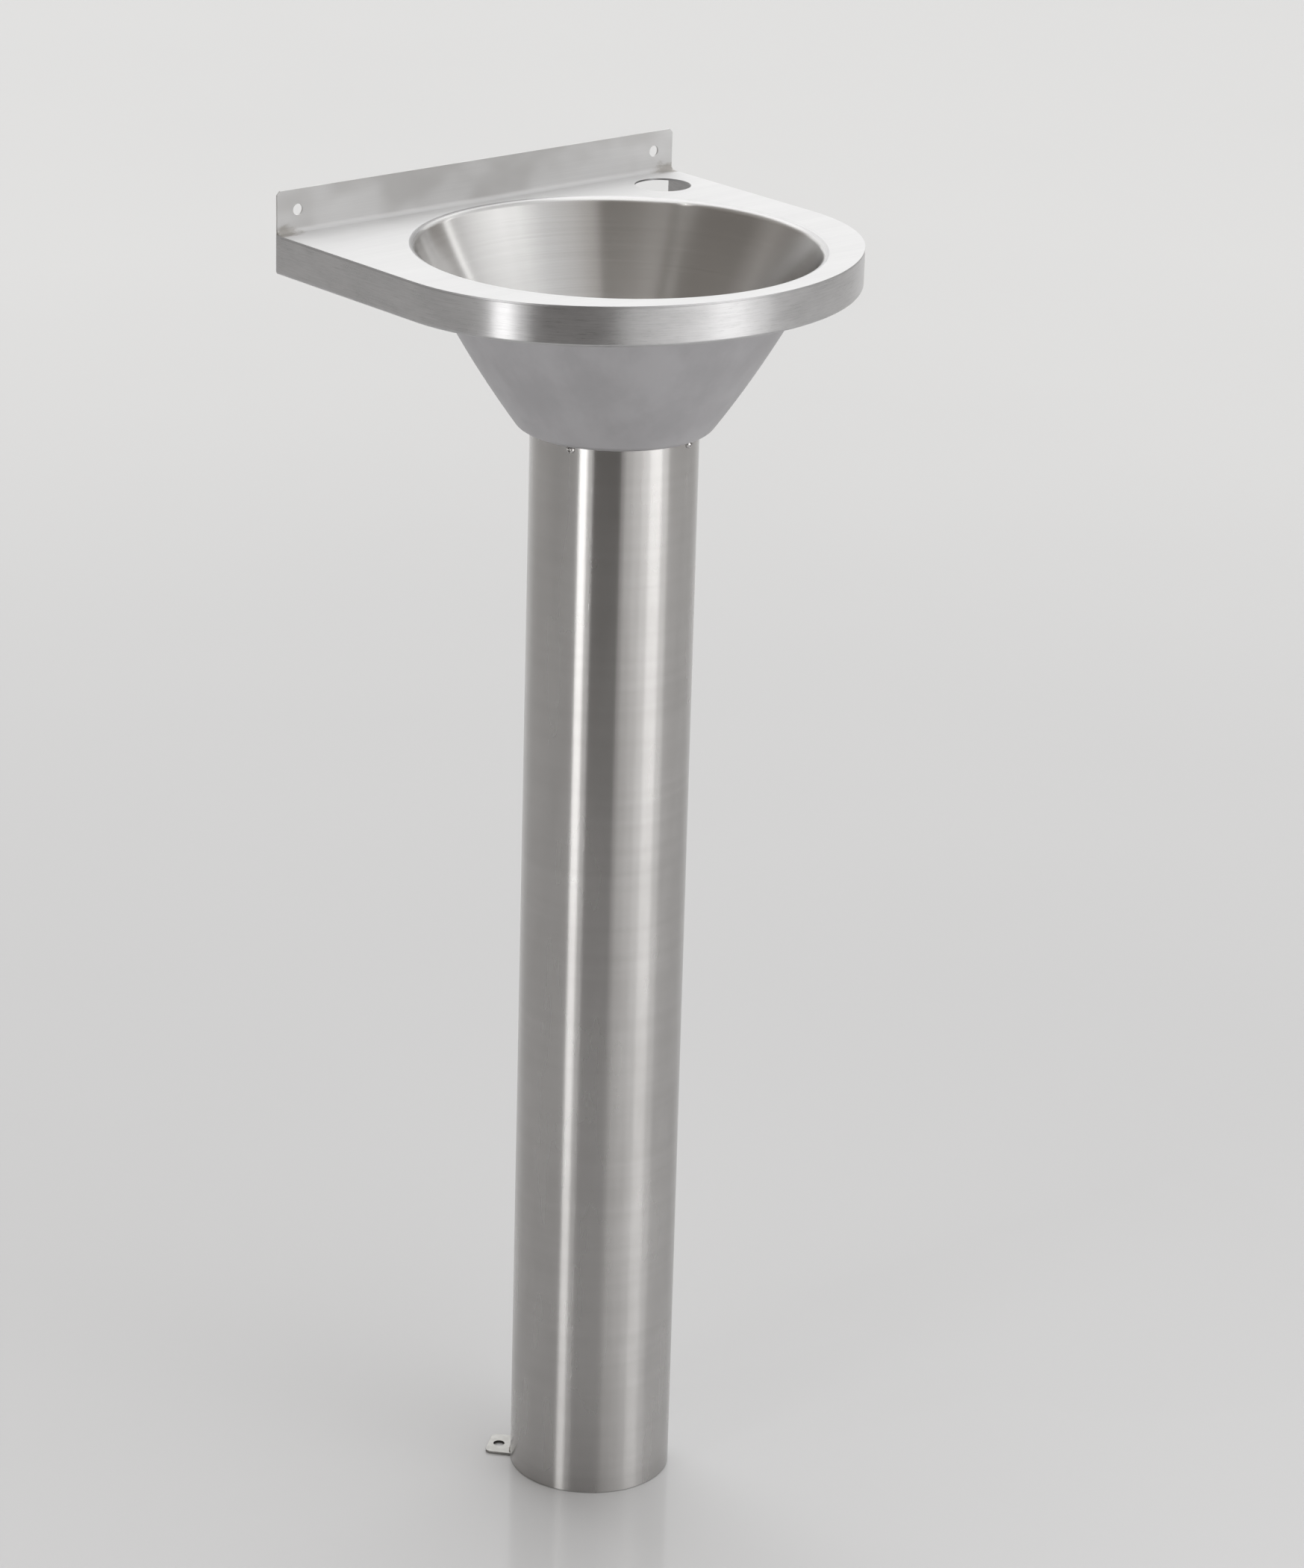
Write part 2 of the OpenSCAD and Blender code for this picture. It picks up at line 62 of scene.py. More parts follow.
def placeCamera(sizes):
    data = bpy.data.cameras.new("camera")
    data.lens = sizes["lens"]
    data.sensor_width = 36
    data.sensor_fit = "AUTO"
    data.clip_end = 100
    camera = bpy.data.objects.new("camera", data)
    bpy.context.scene.collection.objects.link(camera)
    right, down, forward = (Vector(sizes[way]) for way in ("right", "down", "forward"))
    turn = Matrix((right, -down, -forward)).transposed()
    camera.matrix_world = Matrix.Translation(sizes["place"]) @ turn.to_4x4()
    bpy.context.scene.camera = camera


placeCamera(cameraSizes)
bpy.context.scene.view_settings.view_transform = "Standard"
print("camera: placed")


# Shader maths
class Wire:
    # A socket of a node that can be used in an expression
    def __init__(self, board, socket):
        self.board = board
        self.socket = socket

    def pair(self, operation, first, second):
        return self.board.add("ShaderNodeMath", {"operation": operation}, {0: first, 1: second})

    def __add__(self, other):
        return self.pair("ADD", self, other)

    def __radd__(self, other):
        return self.pair("ADD", other, self)

    def __sub__(self, other):
        return self.pair("SUBTRACT", self, other)

    def __rsub__(self, other):
        return self.pair("SUBTRACT", other, self)

    def __mul__(self, other):
        return self.pair("MULTIPLY", self, other)

    def __rmul__(self, other):
        return self.pair("MULTIPLY", other, self)

    def __abs__(self):
        return self.board.add("ShaderNodeMath", {"operation": "ABSOLUTE"}, {0: self})

    def spread(self, low, high):
        # 0 at low, 1 at high, smooth in between
        return self.board.add("ShaderNodeMapRange", {"interpolation_type": "SMOOTHSTEP"},
                              {"Value": self, "From Min": low, "From Max": high})

    def out(self, name):
        return Wire(self.board, self.socket.node.outputs[name])


class Board:
    # The nodes of one material or of the world
    def __init__(self, owner):
        owner.use_nodes = True
        self.tree = owner.node_tree
        self.tree.nodes.clear()

    def add(self, kind, settings=None, values=None):
        node = self.tree.nodes.new(kind)
        for name, setting in (settings or {}).items():
            if name == "stops":
                ramp = node.color_ramp.elements
                while len(ramp) < len(setting):
                    ramp.new(1)
                for stop, (place, colour) in zip(ramp, setting):
                    stop.position = place
                    stop.color = (*colour, 1)
            else:
                setattr(node, name, setting)
        for name, value in (values or {}).items():
            socket = node.inputs[name]
            if isinstance(value, Wire):
                self.tree.links.new(value.socket, socket)
            elif socket.type == "RGBA" and len(value) == 3:
                socket.default_value = (*value, 1)
            else:
                socket.default_value = value
        shown = [socket for socket in node.outputs if socket.enabled]
        return Wire(self, shown[0]) if shown else None

    def vector(self, x, y, z):
        return self.add("ShaderNodeCombineXYZ", {}, {0: x, 1: y, 2: z})

    def split(self, vector):
        # The outputs X, Y and Z are read with out()
        return self.add("ShaderNodeSeparateXYZ", {}, {"Vector": vector})

    def length(self, vector):
        return self.add("ShaderNodeVectorMath", {"operation": "LENGTH"}, {0: vector}).out("Value")

    def stretch(self, place, scale):
        return self.add("ShaderNodeMapping", {}, {"Vector": place, "Scale": scale})

    def noise(self, place, scale, detail=2, rough=0.5):
        return self.add("ShaderNodeTexNoise", {},
                        {"Vector": place, "Scale": scale, "Detail": detail, "Roughness": rough})

    def mix(self, factor, first, second):
        # Colours: first where the factor is 0, second where it is 1
        return self.add("ShaderNodeMix", {"data_type": "RGBA"}, {0: factor, 6: first, 7: second})

    def bump(self, height, distance, before=None):
        values = {"Height": height, "Distance": distance}
        if before:
            values["Normal"] = before
        return self.add("ShaderNodeBump", {}, values)

    def place(self):
        return self.add("ShaderNodeTexCoord").out("Object")

    def flat(self):
        return self.add("ShaderNodeUVMap", {"uv_map": "sheet"})


def finish(name, values, shown=(0.6, 0.6, 0.6), over=None, where=None):
    # A material with one Principled shader, whose sockets values(board) gives. A second finish
    # may lie over it: over(board) gives its sockets, and where(board) how much of it shows.
    material = bpy.data.materials.new(name)
    board = Board(material)
    shader = board.add("ShaderNodeBsdfPrincipled", {}, values(board))
    if over:
        second = board.add("ShaderNodeBsdfPrincipled", {}, over(board))
        shader = board.add("ShaderNodeMixShader", {}, {0: where(board), 1: shader, 2: second})
    board.add("ShaderNodeOutputMaterial", {}, {"Surface": shader})
    material.diffuse_color = (*shown, 1)
    return material


# Surfaces
def gridFaces(rows, columns, joinRows=False, joinColumns=False):
    # Quads between the points of a grid that is stored row after row
    lastRow = rows if joinRows else rows - 1
    lastColumn = columns if joinColumns else columns - 1
    r, c = np.meshgrid(np.arange(lastRow), np.arange(lastColumn), indexing="ij")
    below = (r + 1) % rows
    right = (c + 1) % columns
    return np.stack([r * columns + c, r * columns + right, below * columns + right,
                     below * columns + c], -1).reshape(-1, 4)


def gridCorners(rows, columns):
    # The row and the column of each corner of gridFaces' quads, one past the last where they join
    row = np.repeat(np.arange(rows), columns)
    column = np.tile(np.arange(columns), rows)
    return row[:, None] + (0, 0, 1, 1), column[:, None] + (0, 1, 1, 0)


def cappedFaces(rows, columns):
    # A grid that is joined into a tube, with a face over each end
    faces = [list(face) for face in gridFaces(rows, columns, False, True)]
    faces.append(list(range(columns))[::-1])
    faces.append([(rows - 1) * columns + i for i in range(columns)])
    return faces


def joined(parts):
    # Several (points, faces) as one
    points, faces, count = [], [], 0
    for partPoints, partFaces in parts:
        points.append(partPoints)
        faces += [[i + count for i in face] for face in partFaces]
        count += len(partPoints)
    return np.concatenate(points), faces


def pieceFrom(name, points, faces, flat=None, soft=30.0):
    # flat holds a UV pair for each corner of each face, in metres
    mesh = bpy.data.meshes.new(name)
    mesh.from_pydata(points.reshape(-1, 3), [], [list(face) for face in faces])
    mesh.update()
    if flat is not None:
        layer = mesh.uv_layers.new(name="sheet")
        layer.data.foreach_set("uv", np.asarray(flat, np.float32).ravel())
    mesh.shade_smooth()
    mesh.set_sharp_from_angle(angle=math.radians(soft))
    piece = bpy.data.objects.new(name, mesh)
    bpy.context.scene.collection.objects.link(piece)
    # Long faces keep their own direction up to a rounded edge
    even = piece.modifiers.new("even", "WEIGHTED_NORMAL")
    even.weight = 100
    even.keep_sharp = True
    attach(piece, "root")
    return piece


def arcPoints(centre, radius, start, end, steps):
    # Points on a circle's arc, with angles in degrees
    angle = np.radians(np.linspace(start, end, steps + 1))
    return np.stack([centre[0] + radius * np.cos(angle), centre[1] + radius * np.sin(angle)], -1)


def eased(corners, radii, steps=4):
    # A closed outline with each corner replaced by an arc that touches both its sides
    corners = np.asarray(corners, float)
    outline = []
    for i, radius in enumerate(radii):
        here = corners[i]
        back = corners[i - 1] - here
        ahead = corners[(i + 1) % len(corners)] - here
        back /= np.linalg.norm(back)
        ahead /= np.linalg.norm(ahead)
        half = math.acos(np.clip(back @ ahead, -1, 1)) / 2
        if radius == 0 or half > 1.56:
            outline.append(here[None])
            continue
        middle = (back + ahead) / np.linalg.norm(back + ahead)
        centre = here + middle * radius / math.sin(half)
        first = here + back * radius / math.tan(half) - centre
        turn = math.pi - 2 * half
        turn *= 1 if first[1] * back[0] - first[0] * back[1] > 0 else -1
        angle = turn * np.linspace(0, 1, steps + 1)
        outline.append(centre + np.stack([first[0] * np.cos(angle) - first[1] * np.sin(angle),
                                          first[0] * np.sin(angle) + first[1] * np.cos(angle)], -1))
    return np.concatenate(outline)


def pathLength(points, closed=True):
    # Distance along a line of points, from its first point
    after = points[:1] if closed else points[-1:]
    steps = np.linalg.norm(np.diff(points, axis=0, append=after), axis=-1)
    return np.concatenate([[0], np.cumsum(steps)])


def turned(name, profile, segments, soft=30.0):
    # A closed profile of (radius, height), turned once round the z axis:
    # x = r cos a, y = r sin a, z = h, with a over the columns and the profile over the rows
    angle = np.linspace(0, 2 * np.pi, segments, endpoint=False)
    r, h = profile[:, 0:1], profile[:, 1:2]
    points = np.stack([r * np.cos(angle), r * np.sin(angle), h + 0 * angle], -1)
    faces = gridFaces(len(profile), segments, True, True)
    along = pathLength(profile)
    around = np.linspace(0, 1, segments + 1)
    row, column = gridCorners(len(profile), segments)
    flat = np.stack([around[column], along[row]], -1)
    return pieceFrom(name, points, faces, flat, soft)


# Steel finishes
# Brushed steel is drawn from stretched noise: long and faint along the brushing, fine across it
tubeFinish = {
    "colour": (0.53, 0.52, 0.511),
    "shade": (0.47, 0.46, 0.45),
    "roughness": 0.27,
    "lineScale": 2400,
    "lineDepth": 0.00000004,
    "seamTurn": 216,
    "seamReach": (0.0026, 0.0012),
    "pitScale": 1050,
    "pitDeep": 0.00012,
}


def tubeSteel(board):
    f = tubeFinish
    place = board.place()
    lines = board.noise(board.stretch(place, (9, 9, f["lineScale"])), 1, 3, 0.6)
    bands = board.noise(board.stretch(place, (5, 5, 160)), 1, 2, 0.5)
    cloud = board.noise(board.stretch(place, (40, 40, 9)), 1, 3, 0.55)
    tone = (bands * 0.3 + cloud * 0.7).spread(0.32, 0.68)
    # The tube's long weld is polished away but for groups of tiny pits. The UV's X is the part of
    # a full turn, and so is seamReach.
    seam = abs(board.split(board.flat()).out("X") - f["seamTurn"] / 360).spread(*f["seamReach"])
    groups = board.noise(board.stretch(place, (4, 4, 22)), 1, 2, 0.5).spread(0.46, 0.56)
    dots = board.noise(place, f["pitScale"], 1, 0.4)
    pits = seam * groups * dots.spread(0.54, 0.62)
    return {
        "Base Color": board.mix(tone, f["shade"], f["colour"]),
        "Metallic": 1.0,
        "Roughness": (cloud - 0.5) * 0.04 + f["roughness"],
        "Anisotropic": 1.0,
        "Anisotropic Rotation": 0.25,
        "Normal": board.bump(pits, f["pitDeep"], before=board.bump(lines, f["lineDepth"])),
    }


bowlFinish = {
    "colour": (0.585, 0.579, 0.572),
    "shade": (0.55, 0.543, 0.535),
    "roughness": 0.22,
    "lineScale": 3200,
    "lineDepth": 0.0000008,
}


def bowlSteel(board):
    # Circular brushing: the noise runs along the wall's own length and barely with the angle
    f = bowlFinish
    place = board.place()
    xyz = board.split(place)
    down = board.split(board.flat()).out("Y")
    fine = board.vector(xyz.out("X") * 6, xyz.out("Y") * 6, down * f["lineScale"])
    lines = board.noise(fine, 1, 2, 0.6)
    broad = board.noise(board.vector(xyz.out("X") * 8, xyz.out("Y") * 8, down * 260), 1, 2, 0.5)
    cloud = board.noise(place, 22, 3, 0.55)
    tone = (lines * 0.5 + broad * 0.25 + cloud * 0.25).spread(0.35, 0.65)
    return {
        "Base Color": board.mix(tone, f["shade"], f["colour"]),
        "Metallic": 1.0,
        "Roughness": (lines - 0.5) * 0.06 + (cloud - 0.5) * 0.04 + f["roughness"],
        "Anisotropic": 0.9,
        "Anisotropic Rotation": 0.25,
        "Normal": board.bump(lines, f["lineDepth"]),
    }


undersideFinish = {
    "colour": (0.54, 0.533, 0.545),
    "shade": (0.47, 0.463, 0.474),
    "roughness": 0.52,
}


def undersideSteel(board):
    # Mill finish left on the outside of the pressing: a dull even grey with soft clouds
    f = undersideFinish
    place = board.place()
    grain = board.noise(place, 2600, 2, 0.6)
    cloud = board.noise(place, 28, 4, 0.6)
    draw = board.noise(board.stretch(place, (60, 60, 7)), 1, 2, 0.5)
    tone = (cloud * 0.6 + draw * 0.25 + grain * 0.15).spread(0.36, 0.64)
    return {
        "Base Color": board.mix(tone, f["shade"], f["colour"]),
        "Metallic": 1.0,
        "Roughness": (cloud - 0.5) * 0.12 + f["roughness"],
        "Normal": board.bump(grain, 0.00001),
    }


deckFinish = {
    "colour": (0.75, 0.75, 0.75),
    "shade": (0.70, 0.70, 0.702),
    "wiped": (0.57, 0.565, 0.56),
    "wipedFrom": (0.8006, 0.803),
    "weldTint": (0.42, 0.40, 0.375),
    "weldPlace": (0.150, 0.1295, 0.8005),
    "weldReach": (0.0075, 0.003),
    "roughness": 0.74,
    "edgeFrom": (0.79995, 0.7998),
    "edgeSmooth": 0.38,
}


def deckSteel(board):
    # Straight brushing along the wall edge, on the deck and on the upstand
    f = deckFinish
    place = board.place()
    lines = board.noise(board.stretch(place, (14, 900, 900)), 1, 3, 0.62)
    broad = board.noise(board.stretch(place, (6, 70, 70)), 1, 2, 0.5)
    cloud = board.noise(place, 16, 3, 0.55)
    tone = (lines * 0.5 + broad * 0.3 + cloud * 0.2).spread(0.35, 0.65)
    steel = board.mix(tone, f["shade"], f["colour"])
    # The upstand has wide soft wipe marks, which the deck lacks
    xyz = board.split(place)
    wipe = board.noise(board.stretch(place, (17, 9, 26)), 1, 2, 0.5).spread(0.40, 0.64)
    steel = board.mix(wipe * xyz.out("Z").spread(*f["wipedFrom"]) * 0.65, steel, f["wiped"])
    # Both ends of the fold are welded: the steel is dull and tinted for some 15 mm beside them
    x, y, z = f["weldPlace"]
    spot = board.vector((abs(xyz.out("X")) - x) * 0.45, (xyz.out("Y") - y) * 1.3, xyz.out("Z") - z)
    blotch = board.noise(board.stretch(place, (120, 260, 260)), 1, 3, 0.6)
    heat = (board.length(spot) + (blotch - 0.5) * 0.009).spread(*f["weldReach"])
    steel = board.mix(heat * 0.75, steel, f["weldTint"])
    # The sheet's own edge is ground along with the apron, and is as dark and as smooth
    edge = xyz.out("Z").spread(*f["edgeFrom"])
    rough = (lines - 0.5) * 0.14 + (cloud - 0.5) * 0.06 + f["roughness"]
    return {
        "Base Color": board.mix(edge, steel, apronFinish["shade"]),
        "Metallic": 0.9,  # dull, so it scatters a little light
        "Roughness": rough - edge * f["edgeSmooth"],
        "Normal": board.bump(lines, 0.000006),
    }


apronFinish = {
    "colour": (0.53, 0.527, 0.53),
    "shade": (0.43, 0.427, 0.431),
    "scratch": (0.26, 0.257, 0.256),
    "roughness": 0.31,
}


def apronSteel(board):
    # Coarser brushing carried along the band, with stray light and dark scratches
    f = apronFinish
    uv = board.flat()
    lines = board.noise(board.stretch(uv, (60, 2900, 1)), 1, 3, 0.65)
    coarse = board.noise(board.stretch(uv, (30, 900, 1)), 1, 3, 0.6)
    strokes = board.noise(board.stretch(uv, (110, 3400, 1)), 1, 1, 0.5)
    cloud = board.noise(board.stretch(uv, (34, 90, 1)), 1, 4, 0.6)
    dark = strokes.spread(0.64, 0.72)
    tone = (lines * 0.4 + coarse * 0.25 + cloud * 0.35).spread(0.36, 0.62)
    steel = board.mix(tone, f["shade"], f["colour"])
    return {
        "Base Color": board.mix(dark * 0.5, steel, f["scratch"]),
        "Metallic": 0.79,  # coarse scratches scatter some light all round
        "Roughness": (lines - 0.5) * 0.2 + (cloud - 0.5) * 0.12 + f["roughness"],
        "Anisotropic": 0.75,
        "Anisotropic Rotation": 0.25,
        "Normal": board.bump(lines * 0.75 + coarse * 0.25, 0.000005),
    }


def rimBlend(board):
    # The deck's dull finish goes on over the welded rim and fades out in the rim's rounding
    return board.split(board.flat()).out("Y").spread(0.0072, 0.0022)


tabFinish = {
    "colour": (0.42, 0.415, 0.40),
    "shade": (0.33, 0.325, 0.31),
    "holeShade": (0.09, 0.086, 0.08),
    "holePlace": (0.03772, 0.04576),
    "holeReach": (0.0037, 0.00352),
    "roughness": 0.5,
}


def tabSteel(board):
    # Cut from hot strip: pale, dull, a little cloudy
    f = tabFinish
    place = board.place()
    grain = board.noise(place, 1500, 2, 0.6)
    cloud = board.noise(place, 120, 4, 0.6)
    steel = board.mix(cloud.spread(0.38, 0.66), f["shade"], f["colour"])
    # Painted shade: the punched wall of the screw hole is coloured dark, in place of the shadow inside
    # the hole
    xyz = board.split(place)
    x, y = f["holePlace"]
    hole = board.length(board.vector(abs(xyz.out("X")) - x, xyz.out("Y") - y, 0))
    return {
        "Base Color": board.mix(hole.spread(*f["holeReach"]), steel, f["holeShade"]),
        "Metallic": 1.0,
        "Roughness": (cloud - 0.5) * 0.2 + f["roughness"],
        "Normal": board.bump(grain, 0.00002),
    }


def screwSteel(board):
    place = board.place()
    turnedLines = board.noise(board.stretch(place, (400, 400, 2200)), 1, 2, 0.5)
    cloud = board.noise(place, 300, 2, 0.5)
    return {
        "Base Color": board.mix(cloud.spread(0.35, 0.65), (0.50, 0.49, 0.48), (0.68, 0.67, 0.66)),
        "Metallic": 1.0,
        "Roughness": (turnedLines - 0.5) * 0.2 + 0.25,
        "Normal": board.bump(turnedLines, 0.00001),
    }


def weldSteel(board):
    # Frozen ripples of a small tack, with straw and blue heat tint and soot in the dips
    place = board.place()
    ripple = board.noise(place, 900, 3, 0.6)
    tint = board.noise(place, 260, 2, 0.5)
    tinted = board.mix(tint.spread(0.4, 0.6), (0.36, 0.30, 0.22), (0.20, 0.22, 0.28))
    return {
        "Base Color": board.mix(ripple.spread(0.35, 0.7), (0.05, 0.048, 0.045), tinted),
        "Metallic": 1.0,
        "Roughness": ripple * 0.3 + 0.3,
        "Normal": board.bump(ripple, 0.0002),
    }


def groundWeld(board):
    # A weld that was ground nearly flush: dull steel with a little straw tint
    place = board.place()
    grain = board.noise(place, 1800, 2, 0.6)
    tint = board.noise(place, 420, 3, 0.6)
    return {
        "Base Color": board.mix(tint.spread(0.38, 0.62), (0.36, 0.345, 0.325), (0.50, 0.49, 0.475)),
        "Metallic": 1.0,
        "Roughness": (tint - 0.5) * 0.3 + 0.5,
        "Normal": board.bump(grain, 0.00003),
    }


def sealRubber(board):
    place = board.place()
    grain = board.noise(place, 2200, 3, 0.6)
    bloom = board.noise(place, 60, 3, 0.55)
    return {
        "Base Color": board.mix(bloom.spread(0.35, 0.7), (0.018, 0.018, 0.018), (0.042, 0.042, 0.042)),
        "Roughness": (bloom - 0.5) * 0.2 + 0.62,
        "Normal": board.bump(grain, 0.00003),
    }


def drainPlastic(board):
    # Moulded polypropylene: white with a faint flow pattern and a fine eggshell skin
    place = board.place()
    skin = board.noise(place, 1800, 2, 0.55)
    flow = board.noise(board.stretch(place, (12, 12, 30)), 1, 3, 0.5)
    return {
        "Base Color": board.mix(flow.spread(0.35, 0.68), (0.70, 0.70, 0.68), (0.77, 0.77, 0.755)),
        "Roughness": (flow - 0.5) * 0.12 + 0.38,
        "Normal": board.bump(skin, 0.00002),
    }


finishes = {
    "tube": finish("brushed_tube", tubeSteel),
    "bowl": finish("brushed_bowl", bowlSteel),
    "rim": finish("brushed_bowl_rim", bowlSteel, over=deckSteel, where=rimBlend),
    "underside": finish("mill_underside", undersideSteel),
    "deck": finish("brushed_deck", deckSteel),
    "apron": finish("brushed_apron", apronSteel),
    "tab": finish("strip_steel", tabSteel),
    "screw": finish("screw_steel", screwSteel),
    "weld": finish("weld_metal", weldSteel, (0.2, 0.2, 0.2)),
    "ground": finish("ground_weld", groundWeld),
    "rubber": finish("black_rubber", sealRubber, (0.03, 0.03, 0.03)),
    "plastic": finish("white_polypropylene", drainPlastic, (0.75, 0.75, 0.73)),
}
print("finishes: %d materials" % len(finishes))


# Bowl
bowlSizes = {
    "mouthR": 0.1215,
    "depth": 0.109,
    "wallCurveR": 0.65,
    "rimR": 0.0055,
    "floorR": 0.007,
    "flange": 0.002,
    "floorEdgeR": 0.0538,
    "recessR": 0.0335,
    "recessDeep": 0.0025,
    "drainR": 0.023,
    "floorEase": 0.0006,
    "segments": 320,
    "rimRows": 22,
    "weldWide": 0.0016,
    "weldHigh": 0.000015,
    "weldDeep": 0.0002,
}


def bowlFace(s, grow):
    # The wall is one wide arc that touches the floor rounding inside and the rim rounding outside
    mouth = np.array([s["mouthR"], 0])
    floorMiddle = np.array([s["floorEdgeR"], s["floorR"] - s["depth"]])
    across = floorMiddle - mouth
    gap = np.linalg.norm(across)
    chord = (s["wallCurveR"] ** 2 - (s["wallCurveR"] - s["floorR"]) ** 2 + gap ** 2) / (2 * gap)
    rise = math.sqrt(s["wallCurveR"] ** 2 - chord ** 2)
    wallMiddle = mouth + (chord * across + rise * np.array([across[1], -across[0]])) / gap
    outer = s["wallCurveR"] + s["rimR"]
    rimAside = math.sqrt(outer ** 2 - (s["rimR"] + wallMiddle[1]) ** 2)
    rimMiddle = np.array([wallMiddle[0] + rimAside, -s["rimR"]])
    rimTurn = math.degrees(math.atan2(*(rimMiddle - wallMiddle)[::-1]))
    floorTurn = math.degrees(math.atan2(*(floorMiddle - wallMiddle)[::-1]))
    face = np.concatenate([
        arcPoints(rimMiddle, s["rimR"] - grow, 90, 180 + rimTurn, 18),
        arcPoints(wallMiddle, s["wallCurveR"] + grow, rimTurn, floorTurn, 30)[1:],
        arcPoints(floorMiddle, s["floorR"] + grow, floorTurn, -90, 12)[1:]])
    return face, rimMiddle[0] + s["flange"]


def makeBowl(s):
    sheet = basin["sheet"]
    wet, flangeR = bowlFace(s, 0)
    dry, _ = bowlFace(s, sheet)
    slopeR = s["recessR"] + s["recessDeep"]
    miter = sheet * (math.sqrt(2) - 1)
    low = -s["depth"] - s["recessDeep"]
    radii = [0, s["floorEase"], s["floorEase"], 0]
    wetFloor = eased([wet[-1], (slopeR, -s["depth"]), (s["recessR"], low), (s["drainR"], low)],
                     radii)[1:]
    dryFloor = eased([dry[-1], (slopeR + miter, -s["depth"] - sheet),
                      (s["recessR"] + miter, low - sheet), (s["drainR"], low - sheet)], radii)[1:]
    wetSide = np.concatenate([[[flangeR, 0]], wet, wetFloor])
    drySide = np.concatenate([[[flangeR, -sheet]], dry, dryFloor])
    profile = np.concatenate([wetSide, drySide[::-1]])
    profile[:, 1] += basin["deckHeight"]
    bowl = turned("basin_bowl", profile, s["segments"], 40)
    for name in ("bowl", "underside", "rim"):
        bowl.data.materials.append(finishes[name])
    row = np.arange(len(bowl.data.polygons)) // s["segments"]
    outside = (row >= len(wetSide)) & (row < len(profile) - 1)
    slots = np.where(row < s["rimRows"], 2, outside).astype(np.int32)
    bowl.data.polygons.foreach_set("material_index", slots)
    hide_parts("bowl")
    # The weld that joins the flange to the deck is ground flush: a flat ring over the joint
    near, far = flangeR - s["weldWide"] / 2, flangeR + s["weldWide"] / 2
    top, low = basin["deckHeight"] + s["weldHigh"], basin["deckHeight"] - s["weldDeep"]
    band = np.array([(far, top), (near, top), (near, low), (far, low)])
    weld = turned("rim_weld", band, s["segments"])
    weld.data.materials.append(finishes["deck"])


makeBowl(bowlSizes)
print("bowl: turned")


# Apron
apronSizes = {
    "height": 0.024,
    "lip": 0.009,
    "bendR": 0.002,
    "edgeR": 0.00025,
    "bendOut": 0.0042,
    "straightSteps": 40,
    "cornerSteps": 36,
    "frontSteps": 80,
}


def edgeOfD(s):
    # Half of the D is a straight side, a corner arc and half of the flatter front arc, at tangents.
    # Gives the edge's points, the direction in from the edge, and the distance along it.
    w, r = basin["halfWidth"], basin["cornerR"]
    cornerX = w - r
    sweep = round(90 - 2 * math.degrees(math.atan2(basin["frontReach"] - r, cornerX)), 2)
    frontY = cornerX * math.tan(math.radians(sweep))
    frontR = r + cornerX / math.cos(math.radians(sweep))
    back = basin["backReach"]
    low = back - s["bendOut"]
    y = np.concatenate([[back, low + 1e-6], np.linspace(low, 0, s["straightSteps"])])
    side = np.stack([np.full_like(y, w), y], -1)
    corner = arcPoints((cornerX, 0), r, 0, -sweep, s["cornerSteps"])[1:]
    front = arcPoints((0, frontY), frontR, -sweep, -180 + sweep, s["frontSteps"])[1:]
    left = np.concatenate([side, corner])[:-1][::-1] * (-1, 1)
    edge = np.concatenate([side, corner, front, left])
    inward = np.concatenate([
        np.tile([-1.0, 0.0], (len(side), 1)),
        ((cornerX, 0) - corner) / r,
        ((0, frontY) - front) / frontR])
    inward = np.concatenate([inward, inward[:len(side) + len(corner) - 1][::-1] * (-1, 1)])
    return edge, inward, pathLength(edge, False)[:-1]


def makeApron(s):
    # The section (distance in from the edge, height) is carried along the D's edge:
    # point = edge + section x * inward + section z * up
    sheet = basin["sheet"]
    drop = s["height"] - sheet
    e = s["edgeR"]
    section = eased([(0, 0), (0, -drop), (s["lip"], -drop), (s["lip"], sheet - drop),
                     (sheet, sheet - drop), (sheet, 0)],
                    [e, s["bendR"], e, e, s["bendR"] - sheet, e], 6)
    edge, inward, along = edgeOfD(s)
    points = np.empty((len(edge), len(section), 3))
    points[..., :2] = edge[:, None] + section[None, :, 0:1] * inward[:, None]
    points[..., 2] = basin["deckHeight"] - sheet + section[:, 1]
    # At both ends the strip is higher and closes the deck's corner beside the bend
    atEnd = np.abs(edge[:, 1] - basin["backReach"]) < s["bendOut"] - 5e-7
    top = (section[:, 1] > -0.001) & (section[:, 0] < sheet + 1e-6)
    points[np.ix_(atEnd, top)] += (0, 0, sheet)
    rows, columns = len(edge), len(section)
    faces = [face[::-1] for face in cappedFaces(rows, columns)]
    across = pathLength(section)
    row, column = gridCorners(rows - 1, columns)
    flat = np.stack([along[row], across[column]], -1)[:, ::-1]
    first, last = (np.stack([along[i] + section[:, 0], across[:-1]], -1) for i in (0, -1))
    flat = np.concatenate([flat.reshape(-1, 2), first, last[::-1]])
    apron = pieceFrom("apron_band", points, faces, flat, 32)
    apron.data.materials.append(finishes["apron"])
    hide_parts("apron")


makeApron(apronSizes)
print("apron: carried round the edge")


# Column
columnSizes = {
    "outerR": 0.0508,
    "wall": 0.0015,
    "top": 0.6898,
    "edgeR": 0.0003,
    "segments": 256,
}


def makeColumn(s):
    inner = s["outerR"] - s["wall"]
    profile = eased([(s["outerR"], 0), (s["outerR"], s["top"]), (inner, s["top"]), (inner, 0)],
                    [s["edgeR"]] * 4, 3)
    column = turned("column_tube", profile, s["segments"], 40)
    column.data.materials.append(finishes["tube"])
    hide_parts("column")


makeColumn(columnSizes)
print("column: turned")


